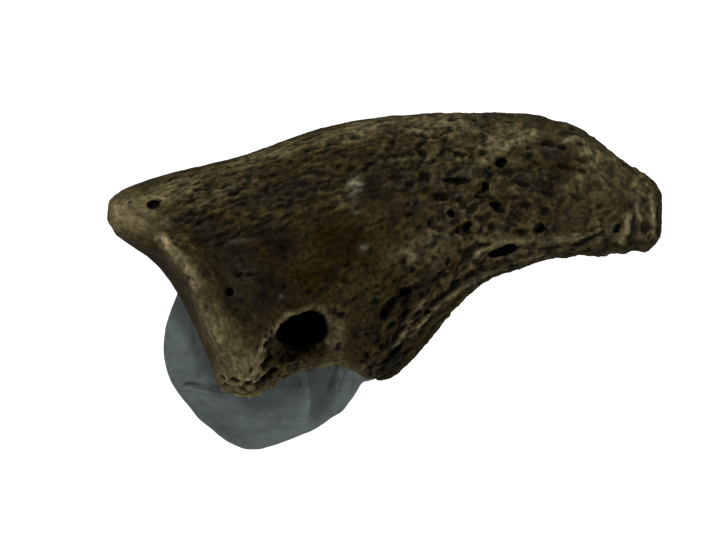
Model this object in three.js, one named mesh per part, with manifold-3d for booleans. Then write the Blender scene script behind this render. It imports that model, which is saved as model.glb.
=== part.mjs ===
// A kangaroo's claw bone: the last bone of the big hind toe, which the horny claw once covered.
// It is an old, stained bone with its tip broken off. It lies on one side, on a lump of grey putty.
//
// Sizes are millimetres, +Z is up. In the bone's own drawing x runs from the joint to the tip,
// y from the sole to the back of the claw, and z from the middle plane out to the upper side.

import * as THREE from "three";
import { ImprovedNoise } from "three/addons/math/ImprovedNoise.js";
import { mergeVertices } from "three/addons/utils/BufferGeometryUtils.js";
import Module from "manifold-3d";

// Driving dimensions of the bone.
const JOINT_RIM_ROUNDING = 0.8; // radius of the rim round the joint face
const JOINT_RIM_SETBACK = 2.3; // how far the side rims lie behind the joint's middle keel
const JOINT_CUPS = 0.55; // depth of the two cups beside the keel
const TIP_ROUNDING = 0.35; // rounding of the broken end
const SIDES_UNEVENNESS = 0.2; // how far the weathered sides swell and sink
const SIDES_GRAIN = 0.3; // noise cells to the millimetre
const SIDES_APART = 18; // how far apart the two sides lie in the noise, so that they differ
const MIDDLE_HEIGHT = 11.3; // height of the bone's middle plane above the table

// Driving dimensions of the vessel hole that opens on each side, above the sole.
const HOLE = { from: [18.8, 5.5, 2.4], to: [17.5, 4.4, 9.0], radii: [1.45, 1.95] };
const TROUGH = { from: [17.6, 4.3, 5.5], to: [16.5, -1.6, 7.5], radii: [1.8, 4.4] };

// Driving dimensions of the putty.
const PUTTY_MIDDLE = [17.2, 4.4];
const PUTTY_HEIGHT = 9.2;
const PUTTY_WIDEST_AT = 3.4; // height at which the lump is widest
const PUTTY_ROUND_BELOW = 4.25; // how far its side would curve below that, were its foot not flat
const PUTTY_SQUARENESS = 2.6; // 2 is a round side, more is a squarer one
const PUTTY_GAP = 0.3; // between the putty and the bone pressed into it
const PUTTY_UNEVENNESS = 0.3;
const PUTTY_GRAIN = 0.16; // noise cells to the millimetre

// How finely the surfaces are divided.
const BONE_STEPS = 74;
const BONE_SIDES = 48;
const CAP_RINGS = 6;
const PUTTY_SIDES = 48;
const PUTTY_BANDS = 20;

const BONE_COLOUR = 0x4a4030;
const PUTTY_COLOUR = 0x5c686a;

// The bone's outline from the side. Both lines run from the joint to the broken tip.
const backLine = smoothLine([
  [-0.1, 15.3],
  [0.55, 16.6],
  [1.6, 17.3],
  [5.3, 18.6],
  [11.8, 20.2],
  [19.4, 22.8],
  [24.8, 23.8],
  [32.3, 24.2],
  [38.6, 24.0],
  [41.2, 23.3],
  [43.1, 22.5],
  [47.4, 19.4],
  [49.9, 17.4],
  [50.1, 16.0],
]);
const soleLine = smoothLine([
  [10.2, -0.9],
  [13.0, -1.4],
  [16.1, 0.3],
  [20.6, 1.3],
  [25.1, -0.1],
  [28.6, 2.75],
  [31.3, 6.4],
  [34.5, 9.1],
  [37.2, 10.0],
  [40.6, 11.0],
  [46.4, 11.2],
  [49.9, 11.9],
]);

// The bone's cross-section at a few shares of its length. halfWidth is in millimetres, and widest is where
// it is reached, as a share of the way from sole to back. A squareness of 1 is a plain wedge, 2 is round.
const sections = [
  { at: 0.0, halfWidth: 7.7, widest: 0.34, backSquareness: 1.95, soleSquareness: 3.0 },
  { at: 0.08, halfWidth: 7.7, widest: 0.35, backSquareness: 1.95, soleSquareness: 2.9 },
  { at: 0.2, halfWidth: 7.1, widest: 0.43, backSquareness: 1.95, soleSquareness: 2.3 },
  { at: 0.31, halfWidth: 6.8, widest: 0.47, backSquareness: 1.95, soleSquareness: 1.75 },
  { at: 0.42, halfWidth: 6.6, widest: 0.44, backSquareness: 1.95, soleSquareness: 1.75 },
  { at: 0.53, halfWidth: 6.3, widest: 0.3, backSquareness: 1.9, soleSquareness: 2.3 },
  { at: 0.66, halfWidth: 5.8, widest: 0.24, backSquareness: 1.85, soleSquareness: 3.1 },
  { at: 0.8, halfWidth: 5.0, widest: 0.26, backSquareness: 1.85, soleSquareness: 3.2 },
  { at: 0.92, halfWidth: 3.9, widest: 0.34, backSquareness: 2.0, soleSquareness: 2.6 },
  { at: 1.0, halfWidth: 2.9, widest: 0.42, backSquareness: 2.2, soleSquareness: 2.4 },
];
const sectionShape = interpolate(sections, ["halfWidth", "widest", "backSquareness", "soleSquareness"]);

// Low swellings and hollows of the bone's two sides, alike on both: how far each stands out, how wide it
// is to either side, and the line that it follows. A hollow's rise is negative.
const sideForms = [
  // The knob of the sole, the valley that runs up behind it, and the sharp edge in front of it.
  { rise: 0.9, spread: 2.6, line: [[23.6, 3.2], [25.6, 3.0]] },
  { rise: -0.75, spread: 1.0, line: [[24.4, 5.4], [26.8, 7.6], [30.4, 8.6], [33.2, 9.9]] },
  { rise: 0.35, spread: 0.8, line: [[27.6, 5.6], [31.8, 8.2]] },
  // The groove that held the edge of the horny claw.
  { rise: -0.6, spread: 0.55, line: [[34.4, 10.9], [37.0, 11.9], [42.5, 12.3], [46.4, 12.6]] },
  // The corner beside the joint, the ridge along the joint's rim, and the valley behind that ridge.
  { rise: 0.35, spread: 2.4, line: [[11.8, 2.2], [12.4, 5.0]] },
  { rise: 0.35, spread: 1.0, line: [[6.6, 12.4], [8.5, 8.8], [9.6, 5.6], [11.6, 1.4]] },
  { rise: -0.4, spread: 1.3, line: [[7.6, 13.4], [10.6, 9.9], [11.4, 7.2]] },
  // The hollow under the knuckle, and the shallow ones of the side and near the tip.
  { rise: -0.55, spread: 2.6, line: [[6.2, 14.4], [10.6, 12.8]] },
  { rise: -0.35, spread: 3.6, line: [[18.5, 13.2], [30.0, 13.6]] },
  { rise: -0.55, spread: 2.2, line: [[41.6, 16.6], [45.0, 15.4]] },
];

// How far the joint face is sunk along its keel, by the share of its height from the back downwards.
const jointProfile = interpolate(
  [
    { at: 0.0, depth: 0.0 },
    { at: 0.09, depth: -0.5 },
    { at: 0.17, depth: -0.1 },
    { at: 0.26, depth: 0.75 },
    { at: 0.38, depth: 1.4 },
    { at: 0.55, depth: 1.45 },
    { at: 0.75, depth: 1.0 },
    { at: 0.9, depth: 0.45 },
    { at: 1.0, depth: 0.0 },
  ],
  ["depth"],
);

// The open slit in the groove of the claw sheath, alike on both sides, and the larger pits of the upper and
// of the lower side: their place, their turn, and their length, width and depth.
const SLIT = { at: [35.4, 11.55], turn: 0.22, size: [3.0, 0.6, 1.9] };
const UPPER_PITS = [
  { at: [4.5, 15.7], turn: -0.1, size: [1.5, 0.75, 0.6] },
  { at: [11.4, 8.0], turn: 0.0, size: [0.8, 0.7, 0.7] },
  { at: [14.7, 0.4], turn: 0.3, size: [1.2, 0.9, 0.6] },
  { at: [25.2, 6.5], turn: 1.1, size: [1.6, 0.6, 0.5] },
  { at: [26.8, 8.0], turn: 0.5, size: [0.9, 0.7, 0.6] },
  { at: [25.9, 2.6], turn: 1.0, size: [1.9, 0.7, 0.5] },
  { at: [28.6, 5.9], turn: 1.1, size: [1.5, 0.6, 0.5] },
  { at: [30.9, 14.9], turn: 0.0, size: [0.7, 0.6, 0.6] },
  { at: [31.6, 17.9], turn: 0.1, size: [2.4, 0.8, 0.4] },
  { at: [32.0, 13.6], turn: 0.5, size: [1.7, 0.7, 0.6] },
  { at: [33.7, 17.1], turn: 0.9, size: [1.3, 0.7, 0.7] },
  { at: [34.9, 15.4], turn: -0.5, size: [1.3, 0.6, 0.6] },
  { at: [35.4, 19.4], turn: 0.9, size: [1.1, 0.6, 0.5] },
  { at: [38.8, 13.7], turn: 0.1, size: [0.9, 0.7, 0.7] },
  { at: [39.6, 17.2], turn: -0.5, size: [2.6, 0.8, 0.4] },
  { at: [45.8, 13.4], turn: 1.3, size: [1.5, 0.7, 0.6] },
];
const LOWER_PITS = [
  { at: [31.2, 14.2], turn: 0.4, size: [1.4, 0.7, 0.6] },
  { at: [33.4, 19.2], turn: -0.4, size: [1.6, 0.7, 0.5] },
  { at: [35.8, 15.8], turn: 0.8, size: [1.0, 0.8, 0.6] },
  { at: [39.4, 18.4], turn: -0.3, size: [1.8, 0.8, 0.5] },
  { at: [41.2, 13.8], turn: 0.2, size: [1.2, 0.7, 0.6] },
];

// The broken, weathered end: noise that grows towards the tip.
const BREAK_STARTS_AT = 0.68;
const BREAK_DEPTH = 0.55;
const BREAK_GRAIN = 0.62; // noise cells to the millimetre

// The putty's outline from above, in the bone's drawing, and its creases.
const puttyOutline = smoothLine(
  [
    [5.9, 8.0],
    [4.7, 3.6],
    [5.6, -0.2],
    [8.3, -3.9],
    [11.0, -6.1],
    [13.5, -6.5],
    [17.5, -5.3],
    [20.4, -3.9],
    [22.1, -1.9],
    [22.8, -0.6],
    [25.0, 0.2],
    [28.6, 4.5],
    [30.0, 10.5],
    [27.0, 16.0],
    [20.0, 18.4],
    [12.5, 16.6],
    [7.8, 12.6],
  ],
  true,
);
const puttyCreases = [
  // The crease in front of the joint, and the two valleys where the putty turns in under the bone.
  { rise: -1.0, spread: 0.6, line: [[4.6, -0.7], [8.0, -0.5], [10.6, -1.2]] },
  { rise: -1.9, spread: 1.3, line: [[4.9, 9.6], [7.3, 5.4], [9.3, 0.6]] },
  { rise: -0.7, spread: 0.9, line: [[11.4, -1.9], [14.4, -1.6], [17.2, 0.2]] },
  // The upright fold under the vessel hole, and the valley beside it.
  { rise: 0.5, spread: 0.8, line: [[17.7, 2.0], [17.9, -1.6], [17.5, -5.0]] },
  { rise: -1.0, spread: 0.95, line: [[19.8, 2.6], [19.8, -0.6], [19.1, -5.2]] },
  { rise: 0.5, spread: 1.0, line: [[21.4, 0.4], [21.0, -2.4]] },
];

function smoothLine(points, closed = false) {
  const knots = points.map(([x, y]) => new THREE.Vector3(x, y, 0));
  const curve = new THREE.CatmullRomCurve3(knots, closed, "centripetal");
  curve.arcLengthDivisions = 400;
  return curve;
}

// A smooth function of the share of the length that gives each named value of the rows.
function interpolate(rows, names) {
  const shares = rows.map((row) => row.at);
  const values = rows.flatMap((row) => names.map((name) => row[name]));
  const spline = new THREE.CubicInterpolant(shares, values, names.length);
  return (share) => {
    const found = spline.evaluate(share);
    return Object.fromEntries(names.map((name, i) => [name, found[i]]));
  };
}

function distanceToLine(x, y, line) {
  const point = new THREE.Vector3(x, y, 0);
  const nearest = new THREE.Vector3();
  let least = Infinity;
  for (let i = 1; i < line.length; i++) {
    const from = new THREE.Vector3(...line[i - 1], 0);
    const to = new THREE.Vector3(...line[i], 0);
    new THREE.Line3(from, to).closestPointToPoint(point, true, nearest);
    least = Math.min(least, nearest.distanceTo(point));
  }
  return least;
}

// The height that a set of swellings and hollows adds at a point.
function reliefAt(x, y, forms) {
  let height = 0;
  for (const form of forms) {
    const away = distanceToLine(x, y, form.line) / form.spread;
    height += form.rise * Math.exp(-away * away);
  }
  return height;
}

const noise = new ImprovedNoise();

// Two sizes of noise together, roughly from -1 to 1.
function roughness(x, y, z, grain) {
  const coarse = noise.noise(x * grain, y * grain, z * grain);
  const fine = noise.noise(x * grain * 2.3 + 7.1, y * grain * 2.3, z * grain * 2.3);
  return coarse * 1.2 + fine * 0.7;
}

// How far a quarter-round edge draws a surface in, at a distance from where the edge ends.
function edgeInset(distance, radius) {
  if (distance >= radius) return 0;
  const left = 1 - distance / radius;
  return radius * (1 - Math.sqrt(1 - left * left));
}

// One half of a cross-section as even steps from the sole's middle line to the back's, in units of the
// half width and the height: across from 0 to 1, up from 0 to 1.
function halfSection({ widest, backSquareness, soleSquareness }) {
  const steps = 240;
  const fine = [];
  for (let i = 0; i <= steps; i++) {
    const angle = (i / steps - 0.5) * Math.PI;
    const power = 2 / (angle < 0 ? soleSquareness : backSquareness);
    const across = Math.cos(angle) ** power;
    const reach = Math.abs(Math.sin(angle)) ** power;
    const up = angle < 0 ? widest * (1 - reach) : widest + (1 - widest) * reach;
    fine.push(new THREE.Vector2(Math.max(0, across), up));
  }
  return fine;
}

// The ring of points round the bone at a share of its length, drawn in by a rounding and grown by a gap.
function boneRing(share, grown) {
  const back = backLine.getPointAt(share);
  const sole = soleLine.getPointAt(share);
  const shape = sectionShape(share);
  const height = back.distanceTo(sole);
  const up = back.clone().sub(sole).normalize();
  const fromJoint = share * soleLine.getLength();
  const fromTip = (1 - share) * soleLine.getLength();
  const inset = edgeInset(fromJoint, JOINT_RIM_ROUNDING) + edgeInset(fromTip, TIP_ROUNDING) - grown;

  const half = halfSection(shape).map(
    (p) => new THREE.Vector3(p.x * (shape.halfWidth - inset), inset + p.y * (height - 2 * inset), 0),
  );
  const even = new THREE.CatmullRomCurve3(half, false, "centripetal");
  even.arcLengthDivisions = 240;
  const halfSteps = BONE_SIDES / 2;
  const ring = [];
  for (let i = 0; i < BONE_SIDES; i++) {
    const mirrored = i > halfSteps;
    const p = even.getPointAt((mirrored ? BONE_SIDES - i : i) / halfSteps);
    const z = mirrored ? -p.x : p.x;
    ring.push(sole.clone().addScaledVector(up, p.y).setZ(z));
  }
  return ring;
}

// Moves a point of the plain body: the joint's hollow and set-back rims, the side forms, the broken end.
function shapePoint(p, share, middle, grown) {
  const across = Math.min(1, Math.abs(p.z) / sectionShape(share).halfWidth);
  const nearJoint = 1 - THREE.MathUtils.smoothstep(share, 0, 0.16);
  const nearBreak = THREE.MathUtils.smoothstep(share, BREAK_STARTS_AT, 1);
  const fromTop = jointTop.clone().sub(p).dot(jointUp) / jointTop.distanceTo(jointBottom);
  const sunk = jointProfile(fromTop).depth + JOINT_RIM_SETBACK * across * across - grown;
  const outward = p.clone().sub(middle).setX(0).normalize();
  const rough = (roughness(p.x, p.y, p.z, BREAK_GRAIN) - 0.3) * BREAK_DEPTH * nearBreak;
  const side = Math.sign(p.z);
  const uneven = roughness(p.x, p.y, side * (SIDES_APART / 2), SIDES_GRAIN) * SIDES_UNEVENNESS;
  p.z += (reliefAt(p.x, p.y, sideForms) + uneven * (1 - nearJoint)) * across * side;
  p.addScaledVector(jointInward, sunk * nearJoint);
  return grown > 0 ? p : p.addScaledVector(outward, rough);
}

// Rings that shrink from an end's ring to its middle, each point then moved by a function.
function capRings(ring, middle, move) {
  const rings = [];
  for (let k = 1; k < CAP_RINGS; k++) {
    const out = 1 - k / CAP_RINGS;
    rings.push(ring.map((p) => move(middle.clone().lerp(p, out), out)));
  }
  return { rings, middle: move(middle.clone(), 0) };
}

function middleOf(ring) {
  const sum = ring.reduce((total, p) => total.add(p), new THREE.Vector3());
  return sum.divideScalar(ring.length);
}

// A closed surface from rings of as many points, with a middle point at each end.
function loft(rings, firstMiddle, lastMiddle) {
  const sides = rings[0].length;
  const points = [firstMiddle, ...rings.flat(), lastMiddle];
  const faces = [];
  const at = (ring, side) => 1 + ring * sides + (side % sides);
  for (let side = 0; side < sides; side++) {
    faces.push(0, at(0, side), at(0, side + 1));
    faces.push(points.length - 1, at(rings.length - 1, side + 1), at(rings.length - 1, side));
    for (let ring = 1; ring < rings.length; ring++) {
      faces.push(at(ring - 1, side), at(ring, side), at(ring, side + 1));
      faces.push(at(ring - 1, side), at(ring, side + 1), at(ring - 1, side + 1));
    }
  }
  return new THREE.BufferGeometry().setFromPoints(points).setIndex(faces);
}

// The direction square to the joint face and into the bone, and the face's own two ends.
const jointTop = backLine.getPointAt(0);
const jointBottom = soleLine.getPointAt(0);
const jointUp = jointTop.clone().sub(jointBottom).normalize();
const jointInward = new THREE.Vector3(jointUp.y, -jointUp.x, 0);

// The claw's bone without its holes. grown makes it thicker all over by that much.
function boneBody(grown = 0) {
  const shares = Array.from({ length: BONE_STEPS + 1 }, (_, i) => endsCloser(i / BONE_STEPS));
  const rings = shares.map((share) => boneRing(share, grown));
  const middles = rings.map(middleOf);
  const lastMiddle = middles[BONE_STEPS];

  const joint = capRings(rings[0], middles[0], (p, out) => {
    const cup = JOINT_CUPS * Math.sin(Math.PI * Math.min(1, Math.abs(p.z) / 6.4)) ** 2 * (1 - out ** 4);
    return shapePoint(p, 0, middles[0], grown).addScaledVector(jointInward, cup);
  });
  const tip = capRings(rings[BONE_STEPS], lastMiddle, (p, out) => {
    const rough = roughness(p.x + 3.7, p.y, p.z, BREAK_GRAIN * 1.4) * BREAK_DEPTH * 0.8;
    return shapePoint(p, 1, lastMiddle, grown).setX(p.x + (1 - out) * (0.25 + rough));
  });
  rings.forEach((ring, i) => ring.forEach((p) => shapePoint(p, shares[i], middles[i], grown)));
  return loft([...joint.rings.reverse(), ...rings, ...tip.rings], joint.middle, tip.middle);
}

// Even steps from 0 to 1 drawn closer together at both ends, where the edges are rounded.
function endsCloser(share) {
  const closeness = 0.12;
  return share - (closeness / (2 * Math.PI)) * Math.sin(2 * Math.PI * share) * 2;
}

// A horn along a line, from a small radius to a larger one, with a domed small end.
function horn({ from, to, radii }, side) {
  const [smallRadius, largeRadius] = radii;
  const start = new THREE.Vector3(...from);
  const end = new THREE.Vector3(...to);
  start.z *= side;
  end.z *= side;
  const length = start.distanceTo(end);
  const profile = [new THREE.Vector2(0, -smallRadius)];
  const domeSteps = 6;
  for (let i = 1; i <= domeSteps; i++) {
    const angle = (i / domeSteps) * (Math.PI / 2);
    profile.push(new THREE.Vector2(smallRadius * Math.sin(angle), -smallRadius * Math.cos(angle)));
  }
  profile.push(new THREE.Vector2(largeRadius, length), new THREE.Vector2(0, length));
  const geometry = new THREE.LatheGeometry(profile, 28);
  const turn = new THREE.Quaternion().setFromUnitVectors(
    new THREE.Vector3(0, 1, 0),
    end.clone().sub(start).normalize(),
  );
  return geometry.applyQuaternion(turn).translate(start.x, start.y, start.z);
}

// The putty before the bone is pressed in: a lump with a flat foot, wider a little above it.
function puttyLump() {
  const middle = new THREE.Vector3(...PUTTY_MIDDLE, 0);
  const rings = [];
  for (let band = 0; band <= PUTTY_BANDS; band++) {
    const z = PUTTY_HEIGHT * (0.5 - 0.5 * Math.cos((Math.PI * band) / PUTTY_BANDS));
    const reach = z < PUTTY_WIDEST_AT ? PUTTY_ROUND_BELOW : PUTTY_HEIGHT - PUTTY_WIDEST_AT;
    const off = Math.abs(z - PUTTY_WIDEST_AT) / reach;
    const out = Math.max(0.3, Math.max(0, 1 - off ** PUTTY_SQUARENESS) ** (1 / PUTTY_SQUARENESS));
    const ring = [];
    for (let side = 0; side < PUTTY_SIDES; side++) {
      const edge = puttyOutline.getPointAt(1 - side / PUTTY_SIDES);
      ring.push(dent(middle.clone().lerp(edge, out).setZ(z)));
    }
    rings.push(ring);
  }
  return loft(rings, middle, middle.clone().setZ(PUTTY_HEIGHT));
}

// Folds and finger marks on the putty's upper part. The foot stays flat.
function dent(p) {
  const high = THREE.MathUtils.smoothstep(p.z, 0.6, PUTTY_WIDEST_AT + 1);
  p.z += reliefAt(p.x, p.y, puttyCreases) * high;
  const uneven = roughness(p.x, p.y, p.z, PUTTY_GRAIN) * PUTTY_UNEVENNESS * high;
  return p.set(p.x + uneven, p.y + uneven, p.z);
}

const wasm = await Module();
wasm.setup();

// A closed geometry as a solid whose faces point out.
function solid(geometry) {
  const bare = geometry.clone();
  bare.deleteAttribute("normal");
  bare.deleteAttribute("uv");
  const merged = mergeVertices(bare, 1e-4);
  const mesh = new wasm.Mesh({
    numProp: 3,
    vertProperties: new Float32Array(merged.attributes.position.array),
    triVerts: new Uint32Array(merged.index.array),
  });
  return new wasm.Manifold(mesh);
}

function geometryOf(made) {
  const mesh = made.getMesh();
  const geometry = new THREE.BufferGeometry();
  geometry.setAttribute("position", new THREE.BufferAttribute(mesh.vertProperties, 3));
  geometry.setIndex(new THREE.BufferAttribute(mesh.triVerts, 1));
  geometry.computeVertexNormals();
  return geometry;
}

// Only the largest closed surface of a cut is kept.
function largest(made) {
  return made.decompose().sort((a, b) => b.volume() - a.volume())[0];
}

// An oval pit or slit, at the height that a straight line down or up meets that side of the bone.
function pit({ at, turn, size }, side) {
  const [x, y] = at;
  const [length, width, depth] = size;
  const outside = new THREE.Vector3(x, y, side * MIDDLE_HEIGHT * 2);
  const ray = new THREE.Raycaster(outside, new THREE.Vector3(0, 0, -side));
  const level = ray.intersectObject(bareSurface)[0].point.z;
  const cutter = new THREE.SphereGeometry(1, 8, 6).rotateX(Math.PI / 2).scale(length / 2, width / 2, depth);
  return solid(cutter.rotateZ(turn).translate(x, y, level));
}

const bareBone = boneBody();
const bareSurface = new THREE.Mesh(bareBone, new THREE.MeshBasicMaterial());

function makeBone() {
  let bone = solid(bareBone);
  for (const side of [1, -1]) {
    for (const form of [HOLE, TROUGH]) bone = bone.subtract(solid(horn(form, side)));
    for (const form of [SLIT, ...(side > 0 ? UPPER_PITS : LOWER_PITS)]) bone = bone.subtract(pit(form, side));
  }
  const material = new THREE.MeshStandardMaterial({ color: BONE_COLOUR, roughness: 0.75, metalness: 0 });
  const mesh = new THREE.Mesh(geometryOf(largest(bone)), material);
  mesh.name = "claw_bone";
  mesh.position.z = MIDDLE_HEIGHT;
  return mesh;
}

function makePutty() {
  const pressed = boneBody(PUTTY_GAP).translate(0, 0, MIDDLE_HEIGHT);
  const lump = largest(solid(puttyLump()).subtract(solid(pressed)));
  const material = new THREE.MeshStandardMaterial({ color: PUTTY_COLOUR, roughness: 0.6, metalness: 0 });
  const mesh = new THREE.Mesh(geometryOf(lump), material);
  mesh.name = "putty_lump";
  return mesh;
}

const claw = new THREE.Group();
claw.add(makeBone(), makePutty());

// The part's origin is the middle of its box, on the table.
const box = new THREE.Box3().setFromObject(claw);
const centre = box.getCenter(new THREE.Vector3());
claw.position.set(-centre.x, -centre.y, -box.min.z);

export default claw;
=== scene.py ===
"""A kangaroo's claw bone on a lump of putty, seen from straight above.

The bone's drawing is in millimetres: x from the joint to the broken tip, y from the sole to the back of
the claw, z from the middle plane out to the upper side. The scene itself is in metres.
"""

import itertools
import math

import bmesh
import bpy
import numpy as np
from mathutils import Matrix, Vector
from mathutils.bvhtree import BVHTree
from mathutils.kdtree import KDTree


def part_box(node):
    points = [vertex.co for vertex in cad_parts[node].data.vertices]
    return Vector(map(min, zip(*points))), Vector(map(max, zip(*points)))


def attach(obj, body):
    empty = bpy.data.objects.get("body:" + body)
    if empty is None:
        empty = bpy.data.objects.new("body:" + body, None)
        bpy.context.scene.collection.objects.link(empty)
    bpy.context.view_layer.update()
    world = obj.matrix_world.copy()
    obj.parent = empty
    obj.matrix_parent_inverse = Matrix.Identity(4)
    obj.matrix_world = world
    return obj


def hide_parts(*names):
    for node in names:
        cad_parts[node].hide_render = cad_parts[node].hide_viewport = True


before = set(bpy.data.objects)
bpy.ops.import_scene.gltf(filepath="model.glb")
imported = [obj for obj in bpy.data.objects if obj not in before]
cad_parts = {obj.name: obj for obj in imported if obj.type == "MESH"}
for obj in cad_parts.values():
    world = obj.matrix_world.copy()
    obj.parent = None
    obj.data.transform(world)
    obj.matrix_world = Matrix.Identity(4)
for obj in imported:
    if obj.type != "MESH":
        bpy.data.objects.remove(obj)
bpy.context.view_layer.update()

MM = 0.001

# Where the drawing's zero lies in the scene, from where the drawing has the bone's own box.
BONE_LEAST_X = 0.09
BONE_MOST_Y = 24.21
MIDDLE_PLANE_HEIGHT = 11.3  # above the table
BONE_LOW, BONE_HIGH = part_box("claw_bone")
DRAWING_ORIGIN = Vector((
    BONE_LOW.x - BONE_LEAST_X * MM,
    BONE_HIGH.y - BONE_MOST_Y * MM,
    MIDDLE_PLANE_HEIGHT * MM,
))

# The photo's frame: one pixel is this wide at the bone's middle plane.
PIXEL = 0.09 * MM
PHOTO_SIZE = (716, 538)
PHOTO_ZERO = (106, 380)  # the pixel that shows the drawing's zero
CAMERA_LENS = 150
SENSOR_WIDTH = 36

# How fine the modelled surfaces are, in millimetres, and how many times each is smoothed.
BONE_VOXEL = 0.13
BONE_SMOOTHING = 8
PUTTY_VOXEL = 0.16
PUTTY_SMOOTHING = 30


# Noise, for whole arrays of points.

NOISE_RANGE = 1.7  # brings the noise to about -1 to 1
LAYER_STEP = 2.03  # how much finer each layer is than the one before it
LAYER_SHIFT = 13.7  # keeps the layers' patterns apart
VEIN_BEND = 0.45  # how far veins bend aside, in cells of the noise
FIBRE_WAVE = 0.22  # how far streaks wander aside, in millimetres
BEND_SCALE = 1.1  # how fine the bends of veins and streaks are


class Noise:
    """Smooth gradient noise from about -1 to 1."""

    def __init__(self, seed):
        random = np.random.default_rng(seed)
        self.order = random.permutation(256)
        gradients = random.normal(size=(256, 3))
        self.gradients = gradients / np.linalg.norm(gradients, axis=1)[:, None]

    def _gradient(self, cell):
        x, y, z = (cell & 255).T
        return self.gradients[self.order[(self.order[(self.order[x] + y) & 255] + z) & 255]]

    def smooth(self, points):
        cell = np.floor(points).astype(int)
        inside = points - cell
        ease = inside**3 * (inside * (inside * 6 - 15) + 10)
        total = np.zeros(len(points))
        for corner in itertools.product((0, 1), repeat=3):
            corner = np.array(corner)
            weight = np.prod(np.where(corner, ease, 1 - ease), axis=1)
            total += weight * ((inside - corner) * self._gradient(cell + corner)).sum(axis=1)
        return total * NOISE_RANGE

    def layers(self, points, count):
        """Smooth noise with finer and fainter noise on it."""
        total = np.zeros(len(points))
        for layer in range(count):
            total += self.smooth(points * LAYER_STEP**layer + LAYER_SHIFT * layer) * 0.5**layer
        return total

    def veins(self, points, width):
        """1 on the thin curved lines where the noise is nought, falling to 0 beside them."""
        bend = np.stack([self.smooth(points * BEND_SCALE + 17 * k) for k in range(3)], axis=1)
        return ramp(np.abs(self.smooth(points + VEIN_BEND * bend)), width, 0)


def ramp(value, low, high):
    """0 below low, 1 above high, smooth between them. low may be the larger."""
    share = np.clip((value - low) / (high - low), 0, 1)
    return share * share * (3 - 2 * share)


# Places on the bone, as masks from 0 to 1 over its points.


def distance_to_line(points, line):
    """Distance in the drawing's plane from each point to a line of (x, y) corners."""
    flat = points[:, :2]
    least = np.full(len(flat), 1e9)
    for start, end in zip(line, line[1:]):
        start, along = np.array(start), np.subtract(end, start)
        share = np.clip((flat - start) @ along / (along @ along), 0, 1)
        least = np.minimum(least, np.linalg.norm(flat - start - share[:, None] * along, axis=1))
    return least


def near_line(points, line, reach, fade):
    """1 within reach of a line of the drawing, falling to 0 over the fade beyond it."""
    return ramp(distance_to_line(points, line), reach + fade, reach)


def blob(points, centre, size, turn=0.0):
    """1 in the middle of an oval of the drawing, falling off smoothly to 0 at about its edge."""
    dx, dy = (points[:, :2] - np.array(centre)).T
    c, s = math.cos(turn), math.sin(turn)
    along, across = (dx * c + dy * s) / size[0], (dy * c - dx * s) / size[1]
    return np.exp(-1.6 * (along**2 + across**2) ** 1.25)


def blobs(points, places):
    """The strongest of a list of ovals: centre, size, turn and strength of each."""
    strongest = np.zeros(len(points))
    for centre, size, turn, strength in places:
        strongest = np.maximum(strongest, strength * blob(points, centre, size, turn))
    return strongest


# Meshes between Blender and numpy.


def to_drawing(points):
    return (points - np.array(DRAWING_ORIGIN)) / MM


def numbers(items, name, width, kind=np.float32):
    """One property of all the items of a mesh, as an array."""
    found = np.zeros(len(items) * width, kind)
    items.foreach_get(name, found)
    return found.reshape(-1, width) if width > 1 else found


def mesh_points(mesh):
    return numbers(mesh.vertices, "co", 3).astype(float)


def set_points(mesh, points):
    mesh.vertices.foreach_set("co", points.astype(np.float32).ravel())
    mesh.update()


def add_mask(mesh, name, values):
    layer = mesh.attributes.new(name, "FLOAT", "POINT")
    layer.data.foreach_set("value", np.clip(values, 0, 1).astype(np.float32))


def new_object(name, data):
    thing = bpy.data.objects.new(name, data)
    bpy.context.scene.collection.objects.link(thing)
    return thing


def remeshed_copy(node, name, voxel, smoothing):
    """A fine even mesh over a CAD node's surface, in the drawing's millimetres."""
    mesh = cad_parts[node].data.copy()
    mesh.materials.clear()
    piece = new_object(name, mesh)
    set_points(mesh, to_drawing(mesh_points(mesh)))
    remesh = piece.modifiers.new("remesh", "REMESH")
    remesh.mode = "VOXEL"
    remesh.voxel_size = voxel
    soften = piece.modifiers.new("soften", "SMOOTH")
    soften.iterations = smoothing
    soften.factor = 0.5
    graph = bpy.context.evaluated_depsgraph_get()
    finished = bpy.data.meshes.new_from_object(piece.evaluated_get(graph))
    piece.modifiers.clear()
    piece.data = finished
    piece.data.name = name
    return piece


def into_scene(piece):
    """From the drawing's millimetres to the scene's metres."""
    set_points(piece.data, mesh_points(piece.data) * MM + np.array(DRAWING_ORIGIN))
    piece.data.shade_smooth()


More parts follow.
